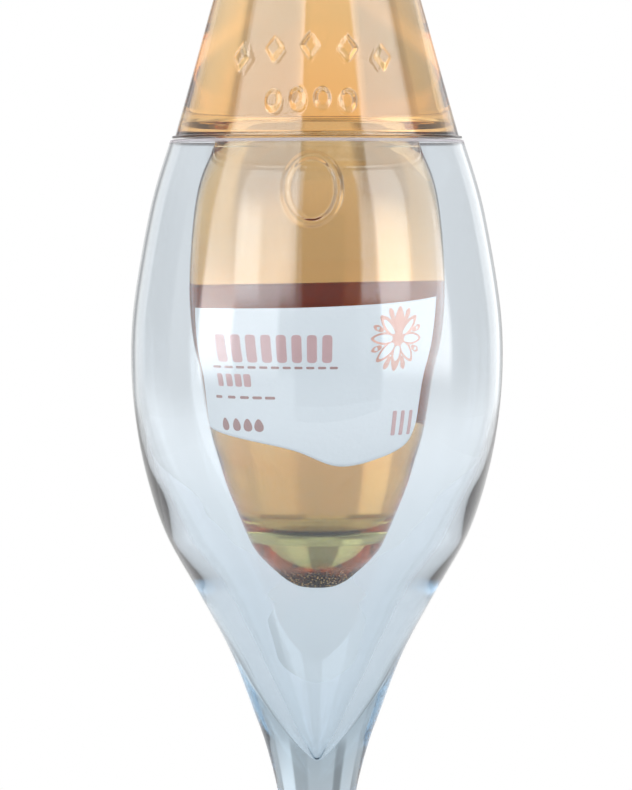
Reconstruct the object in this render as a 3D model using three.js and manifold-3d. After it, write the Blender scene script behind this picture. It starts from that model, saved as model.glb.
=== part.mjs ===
// A clear tulip glass on a flared stem, with a small bottle of rose prosecco let down into it.
// The bottle's shoulder ends in a flat collar that sits on the rim, and its egg-shaped body hangs in the bowl.
// Millimetres, +Z up, the origin at the centre of the foot's underside. The front label faces -Y.

import * as THREE from 'three';
import { mergeVertices } from 'three/addons/utils/BufferGeometryUtils.js';
import Module from 'manifold-3d';

const wasm = await Module();
wasm.setup();

// Driving dimensions of the whole
const sides = 40;
const gap = 0.3;
const rimHeight = 227.8;
const collarUnderside = rimHeight + gap;

// Stem glass, outside and inside, as [radius, height] stations
const footRadius = 36;
const footEdge = 1.4;
const footStations = [[footRadius, footEdge], [33, 2.9], [22, 4.6], [11.5, 8.2]];
const stemStations = [[6.8, 14.5], [4.9, 27], [4.4, 42], [4.9, 58], [6.4, 75], [8.7, 88.1]];
const lowerBowlStations = [[11.2, 97.6], [13.5, 104], [18.5, 117], [25.4, 129.9], [32.6, 142.8]];
const upperBowlStations = [[36.9, 155.8], [39.3, 168.7], [40.1, 181.6], [39.2, 194.6], [35.7, 214]];
const rimRadius = 31.7;
const rimWall = 1.0;
const hollowStations = [
  [34.7, 214], [38.2, 194.6], [39, 181.6], [38.2, 168.7], [35.6, 155.8], [30.4, 142.8],
  [23, 132.4], [17.6, 126.2], [13.1, 119.3], [9.6, 111.8], [6.1, 104.6], [3.1, 98.9], [0.9, 95.6], [0, 95],
];

// Bottle, from the middle of its base to its mouth
const baseStations = [[0, 133.1], [3.2, 131.4], [4.8, 131.2], [8.2, 133.2], [13.6, 138.6]];
const bodyStations = [
  [18.4, 148.2], [21.2, 157.5], [23.2, 165.3], [24.8, 176.3], [26.8, 184.9], [27.6, 195.7],
  [26.9, 209], [25.4, 218.5], [22.6, 225.6],
];
const waistRadius = 21.9;
const collarRadius = 31.3;
const collarThickness = 0.8;
const shoulderStations = [[30.3, 229.6], [26.8, 242], [23.2, 255], [19.2, 269], [15.6, 282.5]];
const neckStations = [[13.5, 294], [13.2, 306]];
const lipRadius = 14.4;
const lipHeight = 9;
const bottleTop = 318;
const mouthRadius = 9.2;
const bottleWall = 2;
const cavityFloor = 143.4;
const cavityStations = [[12.8, 145.3], [16.4, 149.6]];
const collarFloor = 229.7;
const collarHollow = [27.9, 231.2];

// Drink, foil and labels
const drinkLevel = 291.5;
const foilSkirt = 288;
const foilThickness = 0.6;
const foilTop = 337.5;
const stopperRadius = 15.6;
const labelGap = 0.55;
const labelThickness = 0.5;
const frontTopEdge = [[-70, 191.7], [-36, 191.8], [-2, 192.1], [32, 192.9], [66, 194.2]];
const frontBottomEdge = [[-80, 165.5], [-40, 163.4], [-13, 161.4], [12, 157.9], [38, 159.6], [57, 162.6], [63, 167]];
const backTopEdge = [[116, 197.4], [180, 196.6], [244, 195.4]];
const backBottomEdge = [[116, 167.6], [180, 166.8], [244, 165.8]];

// Raised ornament on the shoulder and neck of the body
const medallion = { turn: -2.5, height: 217, halfWidth: 5.7, halfHeight: 7.2, bead: 0.85 };
const lozengeRow = { count: 5, middle: -3, height: 247.4, spread: 70, sag: 2.4, size: [2.3, 0.6, 3.2] };
const beadRow = { count: 4, middle: -3, height: 236.2, spread: 32, sag: 0.5, size: [1.9, 0.6, 2.6] };

function curveThrough(stations, stepsPerStation) {
  const points = stations.map(([radius, height]) => new THREE.Vector2(radius, height));
  return new THREE.SplineCurve(points).getPoints((stations.length - 1) * stepsPerStation);
}

// The radius of a rising outline at a height, straight between its points.
function radiusAt(outline, height) {
  for (let i = 1; i < outline.length; i += 1) {
    const [low, high] = [outline[i - 1], outline[i]];
    if (low.y <= height && height <= high.y && high.y > low.y) {
      return THREE.MathUtils.mapLinear(height, low.y, high.y, low.x, high.x);
    }
  }
  return outline[outline.length - 1].x;
}

// A mesh with shared corners and no flat triangles, as a closed body needs.
function welded(geometry) {
  geometry.deleteAttribute('normal');
  geometry.deleteAttribute('uv');
  const merged = mergeVertices(geometry);
  const index = merged.getIndex().array;
  const kept = [];
  for (let i = 0; i < index.length; i += 3) {
    const [a, b, c] = [index[i], index[i + 1], index[i + 2]];
    if (a !== b && b !== c && c !== a) {
      kept.push(a, b, c);
    }
  }
  merged.setIndex(kept);
  return merged;
}

// An outline from the axis out, up, in and back to the axis, turned round Z.
function turned(outline) {
  return welded(new THREE.LatheGeometry(outline, sides).rotateX(Math.PI / 2));
}

function toManifold(geometry) {
  return new wasm.Manifold(new wasm.Mesh({
    numProp: 3,
    vertProperties: new Float32Array(geometry.getAttribute('position').array),
    triVerts: new Uint32Array(geometry.getIndex().array),
  }));
}

function fused(body, additions) {
  let whole = toManifold(body);
  for (const addition of additions) {
    whole = whole.add(toManifold(addition));
  }
  const mesh = whole.getMesh();
  const geometry = new THREE.BufferGeometry();
  geometry.setAttribute('position', new THREE.Float32BufferAttribute(mesh.vertProperties, 3));
  geometry.setIndex(new THREE.Uint32BufferAttribute(mesh.triVerts, 1));
  return geometry;
}

// A place on a turned surface: turn in degrees from -Y towards +X.
function onSurface(turn, radius, height) {
  const angle = THREE.MathUtils.degToRad(turn);
  return new THREE.Vector3(radius * Math.sin(angle), -radius * Math.cos(angle), height);
}

function stemGlassOutline() {
  const outside = curveThrough(
    [...footStations, ...stemStations, ...lowerBowlStations, ...upperBowlStations, [rimRadius, rimHeight - 0.4]], 1);
  const inside = curveThrough([[rimRadius - rimWall, rimHeight - 0.4], ...hollowStations], 1);
  return [
    new THREE.Vector2(0, 0),
    new THREE.Vector2(footRadius - 1.2, 0),
    new THREE.Vector2(footRadius, 0.7),
    ...outside,
    new THREE.Vector2(rimRadius - rimWall / 2, rimHeight),
    ...inside,
  ];
}

// The bottle's outside from the base up to the collar, then on up to the foot of the lip.
const bodyOutline = curveThrough([...baseStations, ...bodyStations], 1);
const upperOutline = curveThrough([...shoulderStations, ...neckStations], 1);

function bottleOutline() {
  const bore = curveThrough([[mouthRadius, bottleTop - 0.5], [mouthRadius, 304], [11.2, 294]], 1);
  const shoulderInside = shoulderStations.slice(1).reverse().map(([radius, height]) => [radius - bottleWall, height]);
  const bodyInside = bodyStations.slice(2).reverse().map(([radius, height]) => [radius - bottleWall, height]);
  return [
    ...bodyOutline,
    new THREE.Vector2(waistRadius, collarUnderside),
    new THREE.Vector2(collarRadius, collarUnderside),
    new THREE.Vector2(collarRadius, collarUnderside + collarThickness),
    ...upperOutline,
    new THREE.Vector2(lipRadius, bottleTop - lipHeight),
    new THREE.Vector2(lipRadius, bottleTop - 1),
    new THREE.Vector2(lipRadius - 1, bottleTop),
    new THREE.Vector2(mouthRadius + 0.5, bottleTop),
    ...bore,
    ...curveThrough(shoulderInside, 1),
    new THREE.Vector2(...collarHollow),
    new THREE.Vector2(collarHollow[0], collarFloor),
    new THREE.Vector2(waistRadius - bottleWall, collarFloor),
    ...curveThrough(bodyInside, 1),
    new THREE.Vector2(cavityStations[1][0], cavityStations[1][1]),
    new THREE.Vector2(cavityStations[0][0], cavityStations[0][1]),
    new THREE.Vector2(8, cavityFloor),
    new THREE.Vector2(0, cavityFloor - 0.3),
  ];
}

// The drink fills the cavity with a thin gap to the glass all round, up to its level in the neck.
function drinkOutline() {
  const inset = bottleWall + gap;
  const body = bodyStations.slice(2).map(([radius, height]) => [radius - inset, height]);
  const shoulder = shoulderStations.slice(1).map(([radius, height]) => [radius - inset, height]);
  return [
    new THREE.Vector2(0, cavityFloor + gap),
    new THREE.Vector2(8 - gap, cavityFloor + gap),
    new THREE.Vector2(cavityStations[0][0] - gap, cavityStations[0][1] + gap),
    new THREE.Vector2(cavityStations[1][0] - gap, cavityStations[1][1] + gap),
    ...curveThrough(body, 1),
    new THREE.Vector2(waistRadius - inset, collarFloor + gap),
    new THREE.Vector2(collarHollow[0] - gap, collarFloor + gap),
    new THREE.Vector2(collarHollow[0] - gap, collarHollow[1]),
    ...curveThrough(shoulder, 1),
    new THREE.Vector2(11.2 - gap, drinkLevel),
    new THREE.Vector2(0, drinkLevel),
  ];
}

// The foil hugs the neck and lip and swells over the stopper.
function foilOutline() {
  const skirt = radiusAt(upperOutline, foilSkirt) + gap;
  const neck = radiusAt(upperOutline, 300) + gap;
  const lip = lipRadius + gap;
  const outside = curveThrough([
    [skirt + foilThickness, foilSkirt], [neck + foilThickness, 300], [lip + foilThickness, 308.4],
    [lip + foilThickness, 320], [stopperRadius, 327], [stopperRadius - 1.8, 333], [8.5, 336.6],
  ], 2);
  return [
    new THREE.Vector2(0, bottleTop + gap),
    new THREE.Vector2(lip, bottleTop + gap),
    new THREE.Vector2(lip, bottleTop - lipHeight - gap),
    new THREE.Vector2(neck, 305.5),
    new THREE.Vector2(neck, 300),
    new THREE.Vector2(skirt, foilSkirt),
    ...outside,
    new THREE.Vector2(0, foilTop),
  ];
}

// A thin plate on the bottle between two edges, each a curve of [turn, height] stations.
function labelPlate(topEdge, bottomEdge, across, up) {
  const top = new THREE.SplineCurve(topEdge.map(([turn, height]) => new THREE.Vector2(turn, height)));
  const bottom = new THREE.SplineCurve(bottomEdge.map(([turn, height]) => new THREE.Vector2(turn, height)));
  const positions = [];
  for (const lift of [labelGap, labelGap + labelThickness]) {
    for (let row = 0; row <= up; row += 1) {
      for (let column = 0; column <= across; column += 1) {
        const at = bottom.getPoint(column / across).lerp(top.getPoint(column / across), row / up);
        positions.push(...onSurface(at.x, radiusAt(bodyOutline, at.y) + lift, at.y).toArray());
      }
    }
  }
  const columns = across + 1;
  const skin = columns * (up + 1);
  const index = [];
  const quad = (a, b, c, d) => index.push(a, b, c, a, c, d);
  for (let row = 0; row < up; row += 1) {
    for (let column = 0; column < across; column += 1) {
      const corner = row * columns + column;
      quad(skin + corner, skin + corner + 1, skin + corner + columns + 1, skin + corner + columns);
      quad(corner, corner + columns, corner + columns + 1, corner + 1);
    }
  }
  for (let column = 0; column < across; column += 1) {
    const last = up * columns + column;
    quad(column, column + 1, skin + column + 1, skin + column);
    quad(last + 1, last, skin + last, skin + last + 1);
  }
  for (let row = 0; row < up; row += 1) {
    const left = row * columns;
    const right = left + across;
    quad(left + columns, left, skin + left, skin + left + columns);
    quad(right, right + columns, skin + right + columns, skin + right);
  }
  const geometry = new THREE.BufferGeometry();
  geometry.setAttribute('position', new THREE.Float32BufferAttribute(positions, 3));
  geometry.setIndex(index);
  return geometry;
}

// A raised oval ring: a bead that runs round an ellipse laid on the bottle.
function ovalRing({ turn, height, halfWidth, halfHeight, bead }) {
  const steps = 24;
  const beadSides = 6;
  const positions = [];
  const index = [];
  for (let step = 0; step < steps; step += 1) {
    const way = (step / steps) * 2 * Math.PI;
    for (let side = 0; side < beadSides; side += 1) {
      const round = (side / beadSides) * 2 * Math.PI;
      const reach = 1 + (bead * Math.cos(round)) / halfWidth;
      const z = height + halfHeight * Math.sin(way) * reach;
      const radius = radiusAt(bodyOutline, z) + bead * 0.75 * Math.sin(round);
      const degrees = THREE.MathUtils.radToDeg((halfWidth * Math.cos(way) * reach) / radius);
      positions.push(...onSurface(turn + degrees, radius, z).toArray());
      const [here, next] = [step * beadSides, ((step + 1) % steps) * beadSides];
      const [a, b] = [side, (side + 1) % beadSides];
      index.push(here + a, next + a, next + b, here + a, next + b, here + b);
    }
  }
  const geometry = new THREE.BufferGeometry();
  geometry.setAttribute('position', new THREE.Float32BufferAttribute(positions, 3));
  geometry.setIndex(index);
  return geometry;
}

// A row of raised pads along a shallow arc on the shoulder.
function padRow({ count, middle, height, spread, sag, size }) {
  const pads = [];
  for (let i = 0; i < count; i += 1) {
    const along = count > 1 ? (2 * i) / (count - 1) - 1 : 0;
    const z = height - sag * along * along;
    const turn = middle + (spread / 2) * along;
    const pad = new THREE.SphereGeometry(1, 8, 6).scale(...size);
    pad.rotateZ(THREE.MathUtils.degToRad(turn));
    pad.translate(...onSurface(turn, radiusAt(upperOutline, z), z).toArray());
    pads.push(welded(pad));
  }
  return pads;
}

const object = new THREE.Group();

function addPiece(name, geometry, look) {
  const mesh = new THREE.Mesh(geometry, new THREE.MeshStandardMaterial(look));
  mesh.name = name;
  object.add(mesh);
}

addPiece('stem_glass', turned(stemGlassOutline()),
  { color: 0xdfe7ec, roughness: 0.03, metalness: 0, transparent: true, opacity: 0.3 });
addPiece('bottle', fused(turned(bottleOutline()), [ovalRing(medallion), ...padRow(lozengeRow), ...padRow(beadRow)]),
  { color: 0xe6dfc6, roughness: 0.04, metalness: 0, transparent: true, opacity: 0.35 });
addPiece('prosecco', turned(drinkOutline()), { color: 0xd3a96e, roughness: 0.05, metalness: 0 });
addPiece('label_front', labelPlate(frontTopEdge, frontBottomEdge, 18, 7),
  { color: 0xe8ebec, roughness: 0.6, metalness: 0 });
addPiece('label_back', labelPlate(backTopEdge, backBottomEdge, 16, 8),
  { color: 0xb98a6c, roughness: 0.7, metalness: 0 });
addPiece('capsule', turned(foilOutline()), { color: 0xd9a48c, roughness: 0.3, metalness: 0.8 });

export default object;
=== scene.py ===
import math

import bpy
import numpy as np
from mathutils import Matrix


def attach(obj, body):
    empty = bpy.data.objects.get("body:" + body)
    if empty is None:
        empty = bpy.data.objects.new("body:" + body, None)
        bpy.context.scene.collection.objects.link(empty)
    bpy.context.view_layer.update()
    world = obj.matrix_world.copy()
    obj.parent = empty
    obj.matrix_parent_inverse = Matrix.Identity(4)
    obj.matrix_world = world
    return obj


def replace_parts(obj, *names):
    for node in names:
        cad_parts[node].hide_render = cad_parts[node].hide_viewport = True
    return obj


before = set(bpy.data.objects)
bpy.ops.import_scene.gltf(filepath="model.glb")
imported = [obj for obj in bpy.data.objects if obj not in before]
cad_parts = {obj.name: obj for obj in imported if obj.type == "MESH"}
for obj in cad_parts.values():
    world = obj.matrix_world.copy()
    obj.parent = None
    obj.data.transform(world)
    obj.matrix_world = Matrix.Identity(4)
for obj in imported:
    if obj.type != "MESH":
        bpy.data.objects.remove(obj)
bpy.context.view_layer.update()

MM = 0.001
IMAGE_WIDTH, IMAGE_HEIGHT = 632, 790

# Stations of the turned pieces, as [radius, height] in millimetres. They are the solids' own, but
# the wall low in the bowl is up to 1.8 mm thicker on its inner side, and the collar is thinner.
RIM_HEIGHT = 227.8
RIM_RADIUS, RIM_WALL, RIM_ROUND = 31.7, 1.0, 0.4
FOOT_EDGE_RADIUS, FOOT_EDGE_ROUND, FOOT_EDGE_RISE = 35.0, 0.9, 0.7
FOOT = [[36, 1.4], [33, 2.9], [22, 4.6], [11.5, 8.2]]
STEM = [[6.8, 14.5], [4.9, 27], [4.4, 42], [4.9, 58], [6.4, 75], [8.7, 88.1]]
LOWER_BOWL = [[11.2, 97.6], [13.5, 104], [18.5, 117], [25.4, 129.9], [32.6, 142.8]]
UPPER_BOWL = [[36.9, 155.8], [39.3, 168.7], [40.1, 181.6], [39.2, 194.6], [35.7, 214]]
HOLLOW = [
    [34.7, 214], [38.2, 194.6], [39, 181.6], [38, 168.7], [34.7, 155.8], [28.6, 142.8], [21.3, 132.4],
    [17.1, 126.2], [13.1, 119.3], [9.6, 111.8], [6.1, 104.6], [3.1, 98.9], [0.9, 95.6], [0, 95],
]
BASE = [[0, 133.1], [3.2, 131.4], [4.8, 131.2], [8.2, 133.2], [13.6, 138.6]]
BODY = [
    [18.4, 148.2], [21.2, 157.5], [23.2, 165.3], [24.8, 176.3], [26.8, 184.9], [27.6, 195.7],
    [26.9, 209], [25.4, 218.5], [22.6, 225.6],
]
WAIST_RADIUS = 21.9
COLLAR_UNDERSIDE = 228.1
COLLAR_RADIUS, COLLAR_THICKNESS = 31.3, 0.5
SHOULDER = [[30.5, 228.8], [30.3, 229.6], [26.8, 242], [23.2, 255], [19.2, 269], [15.6, 282.5]]
NECK = [[13.5, 294], [13.2, 306]]
LIP_RADIUS, LIP_HEIGHT = 14.4, 9
BOTTLE_TOP, MOUTH_RADIUS = 318, 9.2
BOTTLE_WALL = 2
CAVITY_FLOOR = 143.4
CAVITY = [[12.8, 145.3], [16.4, 149.6]]
COLLAR_FLOOR = 228.9
DRINK_LEVEL, DRINK_OVERLAP = 291.5, 0.12
FOIL_SKIRT, FOIL_TOP = 288, 337.5
FOIL_THICKNESS, FOIL_GAP = 0.6, 0.25
FOIL_GROOVES = (291.2, 310.6)
STOPPER_RADIUS = 15.6

# The labels' edges, as [turn, height] in degrees from -Y towards +X and millimetres
FRONT_TOP = [[-70, 191.7], [-36, 191.8], [-2, 192.1], [32, 192.9], [66, 194.2]]
FRONT_BOTTOM = [[-80, 165.5], [-40, 163.4], [-13, 161.4], [12, 157.9], [38, 159.6], [57, 162.6], [63, 167]]
BACK_TOP = [[116, 197.4], [180, 196.6], [244, 195.4]]
BACK_BOTTOM = [[116, 167.6], [180, 166.8], [244, 165.8]]
LABEL_THICKNESS = 0.12
FRONT_LIFT, BACK_LIFT = 0.06, -0.04
PRINT_DEPTH, PRINT_RISE = 0.06, 0.08

# Raised ornament. Turns are in degrees, and the rest in millimetres. A row's pads lie on an arc
# that drops by its sag at both ends, and half is half a pad's width and height.
RING_TURN, RING_HEIGHT = -2.5, 217
RING_HALF_WIDTH, RING_HALF_HEIGHT = 5.7, 7.2
RING_BEAD, RING_RELIEF = 1.05, 0.75
LOZENGES = {"count": 5, "middle": -3, "height": 247.4, "spread": 70, "sag": 2.4, "half": (2.3, 3.2)}
BEADS = {"count": 4, "middle": -3, "height": 236.2, "spread": 32, "sag": 0.5, "half": (1.9, 2.6)}
PAD_RELIEF = 0.75
RIB_TOP, RIB_RELIEF, RIB_COUNT = 136, 0.13, 36
# The ring and the pads lie within this turn of the front and between these heights
ORNAMENT_TURN, RING_ZONE, PAD_ZONE = 45, (207, 227), (232, 252)

# Columns of the turned pieces
COLUMNS, FOIL_COLUMNS = 192, 256


# Curves and turned meshes

def curve_between(before, start, end, after, t):
    """The point at t, from 0 to 1, between two stations of a Catmull-Rom curve."""
    v0, v1 = (end - before) / 2, (after - start) / 2
    cubic = 2 * start - 2 * end + v0 + v1
    square = -3 * start + 3 * end - 2 * v0 - v1
    return cubic * t**3 + square * t**2 + v0 * t + start


def spline(stations, steps):
    """Points on a Catmull-Rom curve through the stations, steps to each stretch."""
    p = np.array(stations, float)
    p = np.vstack([p[0], p, p[-1]])
    points = []
    for i in range(1, len(p) - 2):
        for t in np.linspace(0, 1, steps, endpoint=False):
            points.append(curve_between(p[i - 1], p[i], p[i + 1], p[i + 2], t))
    points.append(p[-2])
    return [list(q) for q in points]


def spline_at(stations, share):
    """One point on the same curve, share of the way along it."""
    p = np.array(stations, float)
    at = share * (len(p) - 1)
    i = min(int(at), len(p) - 2)
    before, after = p[max(i - 1, 0)], p[min(i + 2, len(p) - 1)]
    return curve_between(before, p[i], p[i + 1], after, at - i)


def new_piece(name, vertices, faces, smooth=True):
    """A mesh object in the scene, its vertices in metres."""
    mesh = bpy.data.meshes.new(name)
    mesh.from_pydata([tuple(v) for v in vertices], [], faces)
    mesh.polygons.foreach_set("use_smooth", [smooth] * len(mesh.polygons))
    mesh.update()
    piece = bpy.data.objects.new(name, mesh)
    bpy.context.scene.collection.objects.link(piece)
    return piece


def turned(name, outline, turns, lift=None, lifted=0):
    """Turns an outline from the axis out, up, in and back to the axis, all in millimetres.
    turns are the degrees from -Y towards +X of its columns, and lift adds to the radius
    at a turn and height, on the first lifted points of the outline."""
    rings, vertices, faces = [], [], []
    for place, (radius, height) in enumerate(outline):
        if radius < 1e-6:
            rings.append([len(vertices)])
            vertices.append((0, 0, height * MM))
            continue
        rings.append(list(range(len(vertices), len(vertices) + len(turns))))
        for turn in turns:
            r = (radius + (lift(turn, radius, height) if place < lifted else 0)) * MM
            angle = math.radians(turn)
            vertices.append((r * math.sin(angle), -r * math.cos(angle), height * MM))
    count = len(turns)
    for low, high in zip(rings, rings[1:]):
        for i in range(count):
            j = (i + 1) % count
            if len(low) == 1 and len(high) > 1:
                faces.append((low[0], high[j], high[i]))
            elif len(high) == 1 and len(low) > 1:
                faces.append((low[i], low[j], high[0]))
            elif len(low) > 1 and len(high) > 1:
                faces.append((low[i], low[j], high[j], high[i]))
    return new_piece(name, vertices, faces)


def even_turns(count):
    """Columns all the same angle apart."""
    return [360 * i / count - 180 for i in range(count)]


def front_turns():
    """Columns close together across the front, where the ornament is, and wider apart behind."""
    return [-44 + 0.6 * i for i in range(140)] + [40 + 3.45 * i for i in range(80)]


def finer(outline, step):
    """The same outline with no stretch longer than step."""
    points = [outline[0]]
    for (r0, z0), (r1, z1) in zip(outline, outline[1:]):
        parts = max(1, math.ceil(math.hypot(r1 - r0, z1 - z0) / step))
        points += [[r0 + (r1 - r0) * k / parts, z0 + (z1 - z0) * k / parts] for k in range(1, parts + 1)]
    return points


def on_surface(turn, radius, height):
    """The place in metres at a turn, a radius and a height."""
    angle = math.radians(turn)
    return (radius * math.sin(angle) * MM, -radius * math.cos(angle) * MM, height * MM)


def radius_at(outline, height):
    """The radius of an outline at a height above its lowest point."""
    lowest = min(range(len(outline)), key=lambda i: outline[i][1])
    rising = outline[lowest:]
    return float(np.interp(height, [z for _, z in rising], [r for r, _ in rising]))


# Materials

# Colours by height in millimetres. The glass of the bowl is greyer in its rim, and a grey matt coat covers
# the rim: a painted veil of light.
GLASS_TINTS = [
    (226.0, (0.895, 0.925, 0.95)), (227.0, (0.895, 0.925, 0.95)),
    (227.2, (0.8, 0.79, 0.82)), (228, (0.8, 0.79, 0.82)),
]
# Share of the grey matt coat on the rim by height: a painted veil of light
RIM_PAINTED_VEIL = [
    (226.0, (0, 0, 0)), (226.9, (0, 0, 0)),
    (227.2, (0.45, 0.45, 0.45)), (228, (0.6, 0.6, 0.6)),
]
# The thick glass of the bottle's base is olive above and clear up the sides; its brown at the bottom is
# painted shade and a painted reflection of the wine
BOTTLE_TINTS_AND_PAINTED_SHADE = [
    (131, (0.10, 0.08, 0.04)), (133.4, (0.20, 0.18, 0.08)), (135.4, (0.58, 0.60, 0.34)),
    (138, (0.72, 0.74, 0.48)), (143, (0.80, 0.80, 0.58)), (147, (0.93, 0.85, 0.68)),
    (158, (0.96, 0.89, 0.76)), (168, (0.99, 0.99, 0.97)),
]
# The knurled underside: its share of a dotted matt surface by height, painted amber and dark as a
# reflection of the wine and shade, and its painted dark brown shade by radius
KNURL_PAINTED_LIGHT_SHARE = [
    (131, (0.85, 0.85, 0.85)), (133.4, (0.75, 0.75, 0.75)),
    (135.6, (0.1, 0.1, 0.1)), (138, (0, 0, 0)),
]
KNURL_PAINTED_SHADE_TINTS = [
    (0, (0.30, 0.15, 0.05)), (3.2, (0.34, 0.18, 0.07)), (5.2, (0.36, 0.20, 0.08)),
    (6.6, (1, 1, 1)), (10, (1, 1, 1)),
]
KNURL_SCALE = 1500


def material(name, **values):
    """A new Principled material with these socket values, its nodes and its shader."""
    made = bpy.data.materials.new(name)
    made.use_nodes = True
    nodes, links = made.node_tree.nodes, made.node_tree.links
    shader = nodes["Principled BSDF"]
    for socket, value in values.items():
        shader.inputs[socket.replace("_", " ")].default_value = value
    return made, nodes, links, shader


def bump(nodes, links, shader, scale, stretch, strength, distance, detail=2.0):
    """Fine relief from a noise stretched by stretch along X, Y and Z."""
    place = nodes.new("ShaderNodeTexCoord")
    spread = nodes.new("ShaderNodeMapping")
    spread.inputs["Scale"].default_value = stretch
    noise = nodes.new("ShaderNodeTexNoise")
    noise.inputs["Scale"].default_value = scale
    noise.inputs["Detail"].default_value = detail
    relief = nodes.new("ShaderNodeBump")
    relief.inputs["Strength"].default_value = strength
    relief.inputs["Distance"].default_value = distance
    links.new(place.outputs["Object"], spread.inputs["Vector"])
    links.new(spread.outputs["Vector"], noise.inputs["Vector"])
    links.new(noise.outputs["Fac"], relief.inputs["Height"])
    links.new(relief.outputs["Normal"], shader.inputs["Normal"])
    return noise


def by_height(nodes, links, colours):
    """A colour ramp along Z, from [height in millimetres, colour] stops."""
    place = nodes.new("ShaderNodeTexCoord")
    way = nodes.new("ShaderNodeSeparateXYZ")
    links.new(place.outputs["Object"], way.inputs[0])
    return ramp_along(nodes, links, way.outputs["Z"], colours)


def by_radius(nodes, links, colours):
    """A colour ramp away from the axis, from [radius in millimetres, colour] stops."""
    place = nodes.new("ShaderNodeTexCoord")
    flat = nodes.new("ShaderNodeVectorMath")
    flat.operation = "MULTIPLY"
    flat.inputs[1].default_value = (1, 1, 0)
    length = nodes.new("ShaderNodeVectorMath")
    length.operation = "LENGTH"
    links.new(place.outputs["Object"], flat.inputs[0])
    links.new(flat.outputs[0], length.inputs[0])
    return ramp_along(nodes, links, length.outputs["Value"], colours)


def ramp_along(nodes, links, value, colours):
    """A colour ramp along a length in metres, from stops in millimetres."""
    low, high = colours[0][0], colours[-1][0]
    share = nodes.new("ShaderNodeMapRange")
    share.inputs["From Min"].default_value = low * MM
    share.inputs["From Max"].default_value = high * MM
    ramp = nodes.new("ShaderNodeValToRGB")
    links.new(value, share.inputs["Value"])
    links.new(share.outputs["Result"], ramp.inputs["Fac"])
    while len(ramp.color_ramp.elements) < len(colours):
        ramp.color_ramp.elements.new(1)
    for element, (at, colour) in zip(ramp.color_ramp.elements, colours):
        element.position = (at - low) / (high - low)
        element.color = (*colour, 1)
    return ramp.outputs["Color"]


def two_colours(nodes, links, value, first, second):
    """A ramp from the first [place, colour] to the second."""
    ramp = nodes.new("ShaderNodeValToRGB")
    for element, (at, colour) in zip(ramp.color_ramp.elements, (first, second)):
        element.position = at
        element.color = colour
    links.new(value, ramp.inputs["Fac"])
    return ramp.outputs["Color"]


def mix_in(nodes, links, shader, other, share):
    """Puts a share, a number or an output, of another shader into the surface."""
    mix = nodes.new("ShaderNodeMixShader")
    if isinstance(share, float):
        mix.inputs[0].default_value = share
    else:
        links.new(share, mix.inputs[0])
    links.new(shader.outputs[0], mix.inputs[1])
    links.new(other.outputs[0], mix.inputs[2])
    links.new(mix.outputs[0], nodes["Material Output"].inputs["Surface"])


def absorb(nodes, links, colour, density):
    """Makes the inside of a piece take up light."""
    volume = nodes.new("ShaderNodeVolumeAbsorption")
    volume.inputs["Color"].default_value = colour
    volume.inputs["Density"].default_value = density
    links.new(volume.outputs["Volume"], nodes["Material Output"].inputs["Volume"])


def clear_glass():
    """The stem glass: clear, faintly blue-grey in its thickness, with a grey matt rim that is a painted
    veil of light.
    """
    made, nodes, links, shader = material(
        "clear_glass", Base_Color=(0.895, 0.925, 0.95, 1), Roughness=0.0, IOR=1.48)
    shader.inputs["Transmission Weight"].default_value = 1
    links.new(by_height(nodes, links, GLASS_TINTS), shader.inputs["Base Color"])
    # A grey matt coat mixed over the rim: a painted veil of light
    rim_painted_veil = nodes.new("ShaderNodeBsdfDiffuse")
    rim_painted_veil.inputs["Color"].default_value = (0.36, 0.34, 0.36, 1)
    mix_in(nodes, links, shader, rim_painted_veil, by_height(nodes, links, RIM_PAINTED_VEIL))
    bump(nodes, links, shader, 30, (1, 1, 0.2), 0.012, 0.002)
    absorb(nodes, links, (0.1, 0.30, 0.42, 1), 40.0)
    return made


def bottle_glass():
    """The bottle: clear, with a tinted thick base painted brown at the bottom as shade and reflected wine,
    and a dotted knurl under it painted amber and dark.
    """
    made, nodes, links, shader = material(
        "bottle_glass", Base_Color=(0.99, 0.99, 0.97, 1), Roughness=0.0, IOR=1.52)
    tint = nodes.new("ShaderNodeMix")
    tint.data_type, tint.blend_type = "RGBA", "MULTIPLY"
    tint.inputs["Factor"].default_value = 1
    # Tint by height: olive glass, and painted shade and reflected wine brown at the bottom
    links.new(by_height(nodes, links, BOTTLE_TINTS_AND_PAINTED_SHADE), tint.inputs["A"])
    # Painted dark brown shade in the middle of the base, by radius
    links.new(by_radius(nodes, links, KNURL_PAINTED_SHADE_TINTS), tint.inputs["B"])
    links.new(tint.outputs["Result"], shader.inputs["Base Color"])
    shader.inputs["Transmission Weight"].default_value = 1
    knurl_painted_light = nodes.new("ShaderNodeBsdfDiffuse")
    dots = nodes.new("ShaderNodeTexVoronoi")
    dots.inputs["Scale"].default_value = KNURL_SCALE
    place = nodes.new("ShaderNodeTexCoord")
    links.new(place.outputs["Object"], dots.inputs["Vector"])
    # The knurl's dots: painted amber as a reflection of the wine, with painted dark shade around them
    painted_wine_reflection, painted_shade = (0.85, 0.55, 0.22, 1), (0.03, 0.012, 0.003, 1)
    spots = two_colours(nodes, links, dots.outputs["Distance"], (0.22, painted_wine_reflection), (0.38, painted_shade))
    links.new(spots, knurl_painted_light.inputs["Color"])
    mix_in(nodes, links, shader, knurl_painted_light, by_height(nodes, links, KNURL_PAINTED_LIGHT_SHARE))
    absorb(nodes, links, (0.70, 0.62, 0.10, 1), 35.0)
    bump(nodes, links, shader, 45, (1, 1, 0.2), 0.03, 0.002)
    return made


def wine():
    """The prosecco: clear, and rose-gold in its thickness."""
    made, nodes, links, shader = material(
        "rose_wine", Base_Color=(1, 1, 1, 1), Roughness=0.0, IOR=1.34)
    shader.inputs["Transmission Weight"].default_value = 1
    absorb(nodes, links, (0.975, 0.69, 0.21, 1), 40.0)
    return made


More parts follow.
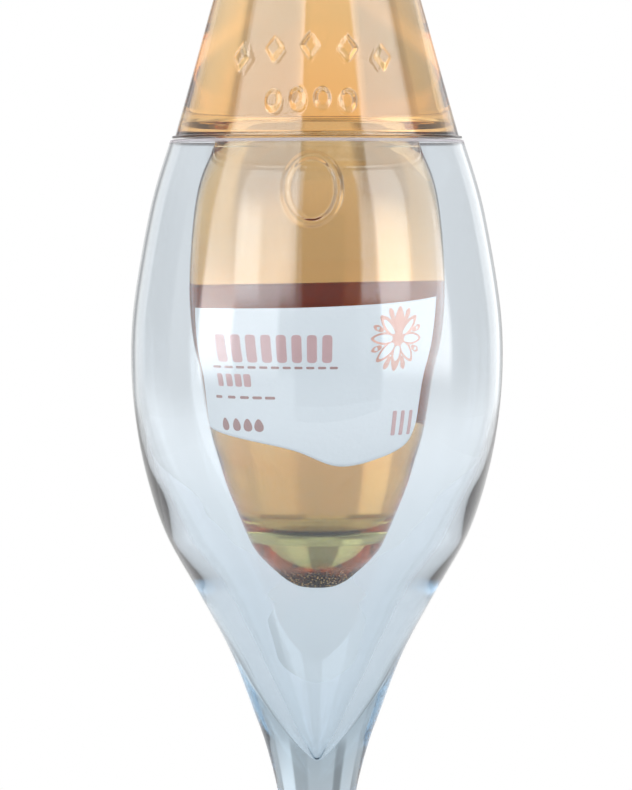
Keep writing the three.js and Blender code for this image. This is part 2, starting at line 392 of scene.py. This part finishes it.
def speckled(nodes, links, shader, noise, colour, darkest):
    """Varies the base colour with the noise, from darkest times the colour up to the colour."""
    low = [c * darkest for c in colour[:3]] + [1]
    colours = two_colours(nodes, links, noise.outputs["Fac"], (0, low), (1, colour))
    links.new(colours, shader.inputs["Base Color"])


def paper(name, colour, darkest):
    """Matt paper with a fine grain."""
    made, nodes, links, shader = material(name, Base_Color=colour, Roughness=0.65)
    noise = bump(nodes, links, shader, 900, (1, 1, 1), 0.25, 0.0004, 6)
    speckled(nodes, links, shader, noise, colour, darkest)
    return made


def lit_paper(name, colour, darkest):
    """Paper that lets some of the light behind it through."""
    made = paper(name, colour, darkest)
    nodes, links = made.node_tree.nodes, made.node_tree.links
    glow = nodes.new("ShaderNodeBsdfTranslucent")
    glow.inputs["Color"].default_value = colour
    mix_in(nodes, links, nodes["Principled BSDF"], glow, 0.6)
    return made


def ink(name, colour, metallic):
    """Printed ink or foil with a fine grain."""
    made, nodes, links, shader = material(name, Base_Color=colour, Roughness=0.45, Metallic=metallic)
    noise = bump(nodes, links, shader, 1400, (1, 1, 1), 0.2, 0.0002, 4)
    speckled(nodes, links, shader, noise, colour, 0.86)
    return made


def foil(name, colour):
    """Satin metal foil, slightly crumpled."""
    made, nodes, links, shader = material(name, Base_Color=colour, Metallic=1.0, Roughness=0.32)
    bump(nodes, links, shader, 260, (1, 1, 0.5), 0.25, 0.0006, 5)
    return made


# Outlines and reliefs

def stem_glass_outline():
    """From under the foot up to the rounded rim and down the hollow."""
    outside = spline(FOOT + STEM + LOWER_BOWL + UPPER_BOWL + [[RIM_RADIUS, RIM_HEIGHT - RIM_ROUND]], 10)
    inside = spline([[RIM_RADIUS - RIM_WALL, RIM_HEIGHT - RIM_ROUND]] + HOLLOW, 14)
    edge, lip = [], []
    for step in range(7):
        angle = math.radians(15 * step)
        edge.append([FOOT_EDGE_RADIUS + FOOT_EDGE_ROUND * math.sin(angle),
                     FOOT_EDGE_RISE - FOOT_EDGE_RISE * math.cos(angle)])
    half = RIM_WALL / 2
    for step in range(1, 9):
        angle = math.radians(20 * step)
        lip.append([RIM_RADIUS - half + half * math.cos(angle),
                    RIM_HEIGHT - RIM_ROUND + RIM_ROUND * math.sin(angle)])
    return [[0, 0]] + edge + outside + lip + inside


def bottle_outside():
    """The bottle's outside from its base up to its waist."""
    return finer(spline(BASE + BODY + [[WAIST_RADIUS, COLLAR_UNDERSIDE - 0.1]], 14), 0.4)


def bottle_upper():
    """The bottle's outside from its collar up to its neck."""
    return finer(spline(SHOULDER + NECK, 20), 0.4)


def bottle_outline():
    """The whole bottle, and how many of its points are on its outside below the lip.
    Points close together keep the collar's edges sharp on the smooth mesh."""
    waist, collar, low = WAIST_RADIUS, COLLAR_RADIUS, COLLAR_UNDERSIDE
    high = low + COLLAR_THICKNESS
    ledge = [
        [waist, low - 0.02], [waist + 0.02, low], [waist + 0.3, low], [24.5, low], [27.5, low],
        [collar - 0.9, low], [collar - 0.3, low], [collar - 0.04, low + 0.04], [collar, low + 0.12],
        [collar, high - 0.12], [collar - 0.04, high - 0.04], [collar - 0.15, high],
        [30.6, high], [30.54, high + 0.03],
    ]
    lip = [
        [LIP_RADIUS - 0.6, BOTTLE_TOP - LIP_HEIGHT - 0.8], [LIP_RADIUS, BOTTLE_TOP - LIP_HEIGHT],
        [LIP_RADIUS, BOTTLE_TOP - 1], [LIP_RADIUS - 0.3, BOTTLE_TOP - 0.3], [LIP_RADIUS - 1, BOTTLE_TOP],
        [MOUTH_RADIUS + 0.5, BOTTLE_TOP], [MOUTH_RADIUS, BOTTLE_TOP - 0.5],
    ]
    outside = bottle_outside() + ledge + bottle_upper()
    return outside + lip + cavity_outline(0)[::-1], len(outside)


def cavity_outline(grow):
    """The cavity from its floor to its mouth, grown into the wall by grow."""
    wall = BOTTLE_WALL - grow
    body = [[r - wall, z] for r, z in BODY[2:]]
    inner, shelf = WAIST_RADIUS - wall, COLLAR_FLOOR - grow
    waist = [
        [inner, shelf - 3.0], [inner + 0.3, shelf - 1.6], [inner + 1.2, shelf - 0.5],
        [inner + 2.4, shelf], [23, shelf], [25.5, shelf], [27.5, shelf], [28.2, shelf],
        [28.46 + grow, shelf], [28.48 + grow, shelf + 0.02], [28.4 + grow, shelf + 0.3],
    ]
    shoulder = [[r - wall, z] for r, z in SHOULDER[1:]]
    mouth = MOUTH_RADIUS + grow
    bore = [[11.2 + grow, 294], [mouth, 304], [mouth, BOTTLE_TOP - 0.5]]
    middle = [[0, CAVITY_FLOOR - 0.3 - grow], [8, CAVITY_FLOOR - grow]]
    corner = [[r + grow, z - grow] for r, z in CAVITY]
    return spline(middle + corner + body, 8) + waist + spline(shoulder + bore, 10)


def row_places(row):
    """The turn and height of each pad of a row along a shallow arc."""
    places = []
    for i in range(row["count"]):
        along = 2 * i / (row["count"] - 1) - 1
        turn = row["middle"] + row["spread"] / 2 * along
        places.append((turn, row["height"] - row["sag"] * along**2))
    return places


LOZENGE_PLACES, BEAD_PLACES = row_places(LOZENGES), row_places(BEADS)


def ring_relief(turn, radius, height):
    """A rounded bead along an oval."""
    across, up = math.radians(turn - RING_TURN) * radius, height - RING_HEIGHT
    out = math.hypot(across / RING_HALF_WIDTH, up / RING_HALF_HEIGHT)
    if out < 0.5:
        return 0
    away = math.hypot(across, up) * abs(1 - 1 / out)
    return RING_RELIEF * math.cos(math.pi / 2 * away / RING_BEAD) if away < RING_BEAD else 0


def pad_relief(turn, radius, height):
    """Flat pads with sloping edges: lozenges above, ovals below."""
    best = 0
    for row, places in ((LOZENGES, LOZENGE_PLACES), (BEADS, BEAD_PLACES)):
        if abs(height - row["height"]) > row["half"][1] + row["sag"]:
            continue
        for pad_turn, pad_height in places:
            u = math.radians(turn - pad_turn) * radius / row["half"][0]
            v = (height - pad_height) / row["half"][1]
            reach = abs(u) + abs(v) if row is LOZENGES else math.hypot(u, v)
            best = max(best, PAD_RELIEF * min(1, 2.2 * (1 - reach)))
    return best


def base_ribs(turn, radius, height):
    """Fine radial ribs under the base and in its hollow."""
    fade = min(1, (RIB_TOP - height) / 1.5, (radius - 0.6) / 1.5)
    if fade <= 0:
        return 0
    beads = 0.6 + 0.4 * math.cos(2 * math.pi * height / 1.1)
    return RIB_RELIEF * fade * beads * math.cos(math.radians(RIB_COUNT * turn))


def bottle_relief(turn, radius, height):
    """How far the ring, the pads and the base's ribs stand out at a turn and height."""
    if height < RIB_TOP:
        return base_ribs(turn, radius, height)
    if abs(turn) > ORNAMENT_TURN:
        return 0
    if RING_ZONE[0] < height < RING_ZONE[1]:
        return ring_relief(turn, radius, height)
    return pad_relief(turn, radius, height) if PAD_ZONE[0] < height < PAD_ZONE[1] else 0


# Stem glass, bottle and drink

stem_glass = turned("stem_glass_clear", stem_glass_outline(), even_turns(COLUMNS))
stem_glass.data.materials.append(clear_glass())
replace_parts(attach(stem_glass, "root"), "stem_glass")

bottle_points, outside_count = bottle_outline()
bottle = turned("bottle_clear", bottle_points, front_turns(), bottle_relief, outside_count)
bottle.data.materials.append(bottle_glass())
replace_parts(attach(bottle, "root"), "bottle")

# The drink reaches a little into the bottle's wall, so that light finds no air between them
side = [p for p in cavity_outline(DRINK_OVERLAP) if p[1] < DRINK_LEVEL]
surface = [[side[-1][0], DRINK_LEVEL], [0, DRINK_LEVEL]]
drink = turned("prosecco_clear", side + surface, even_turns(COLUMNS))
drink.data.materials.append(wine())
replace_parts(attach(drink, "root"), "prosecco")


# Labels

def label_sheet(name, top, bottom, lift, across=90, up=40):
    """A thin closed sheet on the bottle between two edges of [turn, height] stations,
    in across times up cells, its inner side lift off the bottle."""
    body = bottle_outside()
    vertices, faces = [], []
    for out in (lift, lift + LABEL_THICKNESS):
        for row in range(up + 1):
            for column in range(across + 1):
                low, high = spline_at(bottom, column / across), spline_at(top, column / across)
                turn, height = low + (high - low) * row / up
                vertices.append(on_surface(turn, radius_at(body, height) + out, height))
    width = across + 1
    skin = width * (up + 1)
    for row in range(up):
        for column in range(across):
            c = row * width + column
            faces.append((skin + c, skin + c + 1, skin + c + width + 1, skin + c + width))
            faces.append((c, c + width, c + width + 1, c + 1))
    for column in range(across):
        c = up * width + column
        faces.append((column, column + 1, skin + column + 1, skin + column))
        faces.append((c + 1, c, skin + c, skin + c + 1))
    for row in range(up):
        a, b = row * width, row * width + across
        faces.append((a + width, a, skin + a, skin + a + width))
        faces.append((b, b + width, skin + b + width, skin + b))
    return new_piece(name, vertices, faces)


def bar(width, height, corner):
    """A rounded bar's outline, round the middle, in millimetres."""
    points = []
    for x, y, start in ((1, 1, 0), (-1, 1, 90), (-1, -1, 180), (1, -1, 270)):
        middle_x, middle_y = x * (width / 2 - corner), y * (height / 2 - corner)
        for step in range(4):
            angle = math.radians(start + 30 * step)
            points.append([middle_x + corner * math.cos(angle), middle_y + corner * math.sin(angle)])
    return finer(points + points[:1], 0.5)[:-1]


def petal(reach, length, width, angle):
    """A pointed petal's outline, its middle at reach from the flower's, turned by angle in degrees."""
    cos, sin = math.cos(math.radians(angle)), math.sin(math.radians(angle))
    points = []
    for step in range(16):
        way = 2 * math.pi * step / 16
        u = reach + length / 2 * math.cos(way)
        v = width / 2 * math.sin(way) * (1 - 0.35 * math.cos(way))
        points.append((u * cos - v * sin, u * sin + v * cos))
    return points


def printed(name, marks, colour, metallic):
    """Thin marks on the front label, each given as its middle's distance across and height,
    and its outline about that middle."""
    body = bottle_outside()
    vertices, faces = [], []
    for across, height, outline in marks:
        turn = math.degrees(math.asin(across / radius_at(body, height)))
        first, count = len(vertices), len(outline)
        for out in (FRONT_LIFT + LABEL_THICKNESS - PRINT_DEPTH, FRONT_LIFT + LABEL_THICKNESS + PRINT_RISE):
            for u, v in [(0, 0)] + outline:
                radius = radius_at(body, height + v) + out
                vertices.append(on_surface(turn + math.degrees(u / radius), radius, height + v))
        skin = first + count + 1
        for i in range(count):
            j = (i + 1) % count
            faces.append((first, first + 1 + j, first + 1 + i))
            faces.append((skin, skin + 1 + i, skin + 1 + j))
            faces.append((first + 1 + i, first + 1 + j, skin + 1 + j, skin + 1 + i))
    piece = new_piece(name, vertices, faces, False)
    piece.data.materials.append(ink(name, colour, metallic))
    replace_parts(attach(piece, "root"), "label_front")


def facing(across, height, width):
    """A width along the surface that looks as wide as the given one from the front."""
    return width / math.sqrt(1 - (across / radius_at(bottle_outside(), height))**2)


def row_of_marks(count, first, step, height, outline):
    """The same mark at even steps across."""
    return [(first + step * i, height, outline) for i in range(count)]


def row_of_bars(count, first, step, height, width, tall, corner):
    """Bars that all look equally wide from the front."""
    places = [first + step * i for i in range(count)]
    return [(x, height, bar(facing(x, height, width), tall, corner)) for x in places]


front = label_sheet("label_front_paper", FRONT_TOP, FRONT_BOTTOM, FRONT_LIFT)
front.data.materials.append(paper("white_label", (0.93, 0.95, 0.96, 1), 0.97))
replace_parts(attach(front, "root"), "label_front")

short_bar = bar(facing(-18, 176.5, 1.25), 2.7, 0.4)
upright_bar = bar(facing(18, 167.1, 0.7), 5.4, 0.25)
rose_marks = row_of_bars(8, -20.2, 3.19, 183.3, 2.1, 5.9, 0.7)
rose_marks += row_of_marks(4, -20.3, 1.9, 176.5, short_bar)
rose_marks += row_of_marks(3, 16.1, 1.7, 167.1, upright_bar)
printed("label_print_rose", rose_marks, (0.78, 0.50, 0.49, 1), 0.0)

dash = bar(facing(-14, 172.8, 1.9), 0.6, 0.25)
brown_marks = row_of_bars(11, -21, 2.45, 179.3, 1.7, 0.5, 0.2)
brown_marks += row_of_marks(5, -20.6, 2.7, 172.8, dash)
brown_marks += row_of_marks(4, -19.2, 2.35, 166.7, petal(0, 2.8, 2.2, 90))
printed("label_print_brown", brown_marks, (0.54, 0.33, 0.31, 1), 0.0)

rosette = [petal(4.2, 5.4, 2.6, 45 * i) for i in range(8)]
rosette += [petal(6.2, 1.6, 1.2, 45 * i + 22.5) for i in range(8)]
rosette.append(petal(0, 2.0, 2.0, 0))
rosette_marks = [(17.0, 185.4, outline) for outline in rosette]
printed("label_print_rosette", rosette_marks, (0.88, 0.50, 0.40, 1), 0.35)

back = label_sheet("label_back_paper", BACK_TOP, BACK_BOTTOM, BACK_LIFT)
back.data.materials.append(lit_paper("back_label", (0.98, 0.33, 0.01, 1), 0.9))
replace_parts(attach(back, "root"), "label_back")


# Foil over the neck and the stopper

def foil_outline():
    """From the middle over the mouth down the inside to the skirt, then up the outside."""
    upper = bottle_upper()
    skirt = radius_at(upper, FOIL_SKIRT) + FOIL_GAP
    neck = radius_at(upper, 300) + FOIL_GAP
    lip = LIP_RADIUS + FOIL_GAP
    inside = [
        [0, BOTTLE_TOP + 0.3], [lip, BOTTLE_TOP + 0.3], [lip, BOTTLE_TOP - LIP_HEIGHT - 0.3],
        [neck, 305.5], [neck, 300], [skirt, FOIL_SKIRT],
    ]
    outside = [
        [skirt + FOIL_THICKNESS, FOIL_SKIRT], [neck + FOIL_THICKNESS + 0.2, 300],
        [lip + FOIL_THICKNESS, 308.4], [lip + FOIL_THICKNESS, 320], [STOPPER_RADIUS, 327],
        [STOPPER_RADIUS - 1.8, 333], [8.5, 336.6],
    ]
    return inside + finer(spline(outside, 12), 0.3) + [[0, FOIL_TOP]]


def foil_relief(turn, radius, height):
    """Fine pleats over the stopper, and ring grooves where the foil is pressed round the neck."""
    pleats = max(0, 1 - abs(height - 328) / 7) * 0.1 * math.cos(math.radians(28 * turn))
    off_skirt = min(1, max(0, height - FOIL_SKIRT - 1) / 2)
    creases = 0.05 * math.cos(math.radians(9 * turn) + 0.8 * height) * off_skirt
    grooves = sum(0.18 * max(0, 1 - ((height - z) / 0.6)**2) for z in FOIL_GROOVES)
    off_top = max(0, min(1, (FOIL_TOP - 1 - height) / 3))
    return (pleats + creases) * off_top - grooves


foil_points = foil_outline()
capsule = turned("capsule_foil", foil_points, even_turns(FOIL_COLUMNS), foil_relief, len(foil_points))
capsule.data.materials.append(foil("foil", (0.80, 0.50, 0.40, 1)))
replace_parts(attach(capsule, "root"), "capsule")


# Floor, light and camera

FLOOR_HALF_WIDTH = 0.6
FLOOR_GLOW = 0.6
# The light that matt surfaces get, the brightest panel's limit, and half a panel edge's softness
# in degrees
ROOM_LIGHT = 1.9
BRIGHTEST = 7.0
PANEL_EDGE = 1.0
# How far up and down a direction of length 1 points where the upper and lower panels take over
ABOVE_FROM, ABOVE_TO = 0.15, 0.35
BELOW_TO, BELOW_FROM = -0.14, -0.02
# Studio panels level with the object, above it and below it, each as its bearing in degrees from
# the camera towards +X and its brightness from there to the next
PANELS = [
    (0, 0.3), (41, 2.4), (92, 0.9), (136, 0.95), (160, 1.15), (174.5, 0.88), (193.5, 1.55), (206, 0.95),
    (224, 0.8), (256, 0.95), (281, 3.0), (306, 1.8), (346, 0.3),
]
PANELS_ABOVE = [
    (0, 0.3), (41, 1.6), (92, 0.6), (138, 1.0), (160, 1.25), (174.5, 0.5), (193.5, 1.35),
    (222, 0.6), (281, 1.6), (346, 0.3),
]
PANELS_BELOW = [
    (0, 0.2), (41, 1.0), (92, 1.1), (106, 1.05), (158, 0.58), (176.4, 1.03), (189.6, 0.50), (207, 0.70),
    (256, 1.1), (281, 1.0), (346, 0.2),
]
# The same for light that has crossed fewer than CLEAR_CROSSINGS surfaces, as through the clear
# glass alone or in a reflection
CLEAR_CROSSINGS = 5.5
CLEAR_PANELS = [
    (0, 0.1), (26, 0.4), (41, 4.3), (92, 0.7), (136, 1.4), (158, 0.68), (172, 0.85), (195, 0.44),
    (204, 1.0), (224, 0.5), (256, 1.0), (281, 6.0), (306, 2.6), (336, 0.4), (346, 0.1),
]
CLEAR_PANELS_ABOVE = [
    (0, 0.4), (41, 3.4), (92, 0.8), (138, 1.0), (222, 0.8), (281, 3.2), (346, 0.4),
]
CLEAR_PANELS_BELOW = [
    (0, 0.1), (41, 1.1), (92, 0.9), (136, 1.1), (188, 0.88), (224, 0.9), (256, 0.8), (281, 0.9), (346, 0.1),
]


def floor():
    """A pale floor that glows a little, and is white to the camera as the photo's ground is."""
    w = FLOOR_HALF_WIDTH
    piece = new_piece("floor", [(-w, -w, 0), (w, -w, 0), (w, w, 0), (-w, w, 0)], [(0, 1, 2, 3)], False)
    made, nodes, links, shader = material("floor", Base_Color=(0.22, 0.22, 0.225, 1), Roughness=0.9)
    shader.inputs["Emission Color"].default_value = (0.98, 0.99, 1, 1)
    shader.inputs["Emission Strength"].default_value = FLOOR_GLOW
    seen = nodes.new("ShaderNodeLightPath")
    white = nodes.new("ShaderNodeEmission")
    white.inputs["Color"].default_value = (1, 1, 1, 1)
    mix = nodes.new("ShaderNodeMixShader")
    links.new(seen.outputs["Is Camera Ray"], mix.inputs[0])
    links.new(shader.outputs[0], mix.inputs[1])
    links.new(white.outputs[0], mix.inputs[2])
    links.new(mix.outputs[0], nodes["Material Output"].inputs["Surface"])
    piece.data.materials.append(made)


def studio():
    """White behind the object for the camera, and rings of studio panels for glass."""
    world = bpy.data.worlds.new("studio")
    bpy.context.scene.world = world
    world.use_nodes = True
    nodes, links = world.node_tree.nodes, world.node_tree.links
    nodes.clear()

    def plug(socket, value):
        """Sets a socket to a number or links an output to it."""
        if isinstance(value, (int, float)):
            socket.default_value = value
        else:
            links.new(value, socket)

    def maths(operation, a, b):
        node = nodes.new("ShaderNodeMath")
        node.operation = operation
        plug(node.inputs[0], a)
        plug(node.inputs[1], b)
        return node.outputs[0]

    def mixed(share, first, second):
        node = nodes.new("ShaderNodeMix")
        node.data_type = "FLOAT"
        for place, value in ((0, share), (2, first), (3, second)):
            plug(node.inputs[place], value)
        return node.outputs[0]

    def between(value, low, high):
        """0 below low and 1 above high, with a smooth step."""
        node = nodes.new("ShaderNodeMapRange")
        node.interpolation_type = "SMOOTHSTEP"
        plug(node.inputs["Value"], value)
        node.inputs["From Min"].default_value = low
        node.inputs["From Max"].default_value = high
        return node.outputs["Result"]

    def ring(panels, share):
        """Brightness by bearing, each panel running from its bearing to the next one's."""
        node = nodes.new("ShaderNodeValToRGB")
        links.new(share, node.inputs["Fac"])
        stops = [(0, panels[0][1])]
        for (_, before), (bearing, value) in zip(panels, panels[1:]):
            stops.append(((bearing - PANEL_EDGE) / 360, before))
            stops.append(((bearing + PANEL_EDGE) / 360, value))
        ramp = node.color_ramp
        while len(ramp.elements) < len(stops):
            ramp.elements.new(1)
        for element, (at, value) in zip(ramp.elements, stops):
            element.position = at
        for element, (at, value) in zip(ramp.elements, stops):
            element.color = [value / BRIGHTEST] * 3 + [1]
        return maths("MULTIPLY", node.outputs["Color"], BRIGHTEST)

    place = nodes.new("ShaderNodeTexCoord")
    way = nodes.new("ShaderNodeSeparateXYZ")
    links.new(place.outputs["Generated"], way.inputs[0])
    # Bearing in turns: 0 and 1 at the camera's side, a quarter at +X, a half behind the object
    bearing = maths("ARCTAN2", way.outputs["X"], maths("MULTIPLY", way.outputs["Y"], -1.0))
    share = maths("FRACT", maths("DIVIDE", bearing, 2 * math.pi), 0)
    path = nodes.new("ShaderNodeLightPath")
    filled = maths("GREATER_THAN", path.outputs["Transmission Depth"], CLEAR_CROSSINGS)
    level = mixed(filled, ring(CLEAR_PANELS, share), ring(PANELS, share))
    below = mixed(filled, ring(CLEAR_PANELS_BELOW, share), ring(PANELS_BELOW, share))
    above = mixed(filled, ring(CLEAR_PANELS_ABOVE, share), ring(PANELS_ABOVE, share))
    light = mixed(between(way.outputs["Z"], ABOVE_FROM, ABOVE_TO), level, above)
    light = mixed(between(way.outputs["Z"], BELOW_TO, BELOW_FROM), below, light)
    light = mixed(maths("GREATER_THAN", path.outputs["Diffuse Depth"], 0.5), light, ROOM_LIGHT)
    light = mixed(path.outputs["Is Camera Ray"], light, 1.0)
    background = nodes.new("ShaderNodeBackground")
    background.inputs["Color"].default_value = (1, 1, 1, 1)
    links.new(light, background.inputs["Strength"])
    out = nodes.new("ShaderNodeOutputWorld")
    links.new(background.outputs[0], out.inputs["Surface"])


# The camera looks up by a degree at the rim, which is at RIM_ROW of the image, and the axis at
# AXIS_COLUMN
CAMERA_DISTANCE = 1.08
RIM_ROW, AXIS_COLUMN = 140, 317
CAMERA_BELOW_RIM = math.radians(1.0)
LENS, SENSOR = 228, 36


def camera():
    """The camera at the photo's angle."""
    data = bpy.data.cameras.new("camera")
    data.lens, data.sensor_width = LENS, SENSOR
    data.clip_start, data.clip_end = 0.01, 50
    piece = bpy.data.objects.new("camera", data)
    bpy.context.scene.collection.objects.link(piece)
    pixels = LENS / SENSOR * IMAGE_HEIGHT
    height = RIM_HEIGHT * MM - CAMERA_DISTANCE * math.tan(CAMERA_BELOW_RIM)
    up = CAMERA_BELOW_RIM - math.atan((IMAGE_HEIGHT / 2 - RIM_ROW) / pixels)
    side = math.atan((IMAGE_WIDTH / 2 - AXIS_COLUMN) / pixels)
    piece.location = (0, -CAMERA_DISTANCE, height)
    piece.rotation_euler = (math.pi / 2 + up, 0, -side)
    bpy.context.scene.camera = piece


floor()
studio()
camera()

scene = bpy.context.scene
scene.view_settings.view_transform = "Standard"
scene.view_settings.look = "None"
scene.cycles.max_bounces = 32
scene.cycles.transmission_bounces = 32
scene.cycles.glossy_bounces = 12
scene.cycles.transparent_max_bounces = 16
